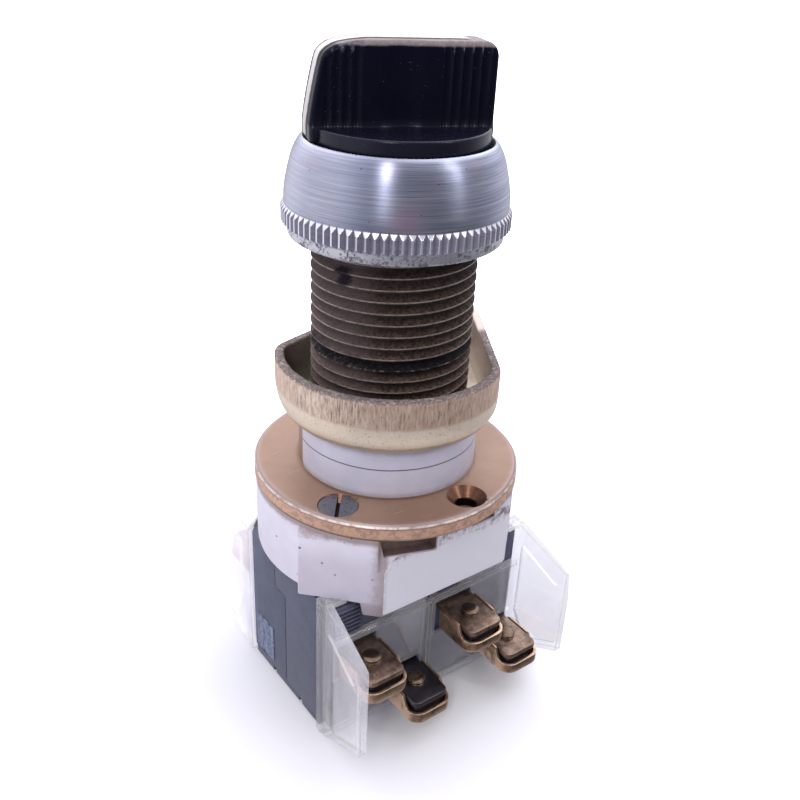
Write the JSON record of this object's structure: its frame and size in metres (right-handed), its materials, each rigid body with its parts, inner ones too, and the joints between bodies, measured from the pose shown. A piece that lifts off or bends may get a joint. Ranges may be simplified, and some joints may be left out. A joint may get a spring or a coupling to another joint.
{
  "type": "rotary selector switch",
  "caption": "Panel-mount rotary selector switch: wing knob on a long threaded barrel with a bezel ring, round flange and side-by-side contact blocks under clear terminal guards.",
  "frame": {"origin": "on the knob's axis at the flange's top face, where the collar rises from it", "axes": "+Z along the barrel towards the knob, -Y towards the labelled front of the housing (side 1), +X to the right seen from that front"},
  "size_m": [0.0542, 0.0612, 0.1286],
  "materials": {
    "knob_plastic": "glossy moulded thermoplastic with dust and scuffs",
    "insert_plastic": "white moulded plastic",
    "zinc_steel": "zinc-plated turned steel",
    "spring_steel": "spring steel",
    "seal_rubber": "black nitrile rubber",
    "bush_bronze": "sintered bronze",
    "cam_plastic": "black filled nylon",
    "barrel_metal": "dark grimy die-cast zinc with worn thread crests",
    "bezel_aluminium": "turned satin aluminium",
    "cup_plating": "pale yellow chromated steel",
    "flange_finish": "copper-tan anodised metal with worn edges",
    "label_film": "silver-white label film, unprinted",
    "screw_steel": "dark passivated steel",
    "housing_plastic": "white moulded plastic with dirt specks",
    "block_plastic": "slate blue-grey moulded plastic",
    "cover_clear": "clear moulded polycarbonate",
    "contact_brass": "brass with silver contact buttons",
    "strap_brass": "tarnished dark bronze",
    "clamp_plating": "yellow zinc plating, iridescent"
  },
  "bodies": {
    "switch_body": {"threaded_barrel": "barrel_metal", "shaft_bush": "bush_bronze", "flange_base": "flange_finish", "id_label": "label_film", "flange_screws": "screw_steel", "actuator_housing": "housing_plastic", "side_label": "label_film", "detent_spring": "spring_steel", "block_body_left": "block_plastic", "block_body_right": "block_plastic", "block_base_left": "block_plastic", "block_base_right": "block_plastic", "clear_cover_front_left": "cover_clear", "clear_cover_front_right": "cover_clear", "clear_cover_rear_left": "cover_clear", "clear_cover_rear_right": "cover_clear", "terminal_straps_left": "strap_brass", "terminal_straps_right": "strap_brass", "saddle_clamps_left": "clamp_plating", "saddle_clamps_right": "clamp_plating", "terminal_screws_left": "screw_steel", "terminal_screws_right": "screw_steel", "block_screws": "screw_steel", "return_spring_left": "spring_steel", "return_spring_right": "spring_steel"},
    "selector": {"knob": "knob_plastic", "knob_insert": "insert_plastic", "knob_screw": "zinc_steel", "selector_shaft": "zinc_steel", "shaft_circlip": "spring_steel", "shaft_orings": "seal_rubber", "cam": "cam_plastic", "detent_wheel": "cam_plastic"},
    "detent_ball": {"detent_ball": "spring_steel"},
    "side1_actuator": {"actuator_side1": "insert_plastic"},
    "side2_actuator": {"actuator_side2": "cam_plastic"},
    "left_contacts": {"plunger_left": "insert_plastic", "bridges_left": "contact_brass"},
    "right_contacts": {"plunger_right": "insert_plastic", "bridges_right": "contact_brass"},
    "bezel_ring": {"bezel_ring": "bezel_aluminium"},
    "locating_cup": {"locating_cup": "cup_plating"}
  },
  "joints": [
    {"name": "selector_turn", "type": "hinge", "parent": "switch_body", "child": "selector", "pos_m": [0, 0, 0.062], "axis": [0, 0, 1], "range_deg": [-135, 0]},
    {"name": "side1_actuator_travel", "type": "slide", "parent": "switch_body", "child": "side1_actuator", "axis": [0, 0, 1], "range_m": [-0.0024, 0]},
    {"name": "side2_actuator_travel", "type": "slide", "parent": "switch_body", "child": "side2_actuator", "axis": [0, 0, 1], "range_m": [0, 0.0024]},
    {"name": "left_contact_travel", "type": "slide", "parent": "switch_body", "child": "left_contacts", "axis": [0, 0, 1], "range_m": [-0.0024, 0], "deforming": ["return_spring_left"]},
    {"name": "right_contact_travel", "type": "slide", "parent": "switch_body", "child": "right_contacts", "axis": [0, 0, 1], "range_m": [0, 0.0024], "deforming": ["return_spring_right"]},
    {"name": "detent_ball_travel", "type": "slide", "parent": "switch_body", "child": "detent_ball", "axis": [0, 1, 0], "range_m": [-0.0012, 0]},
    {"name": "bezel_ring_travel", "type": "slide", "parent": "switch_body", "child": "bezel_ring", "axis": [0, 0, 1], "range_m": [-0.011, 0]},
    {"name": "locating_cup_travel", "type": "slide", "parent": "switch_body", "child": "locating_cup", "axis": [0, 0, 1], "range_m": [0, 0.011]}
  ],
  "couplings": [
    {"joint": "side1_actuator_travel", "follows": "selector_turn", "m_per_rad": 0.0010185},
    {"joint": "side2_actuator_travel", "follows": "selector_turn", "m_per_rad": -0.0010185},
    {"joint": "left_contact_travel", "follows": "selector_turn", "m_per_rad": 0.0010185},
    {"joint": "right_contact_travel", "follows": "selector_turn", "m_per_rad": -0.0010185}
  ]
}
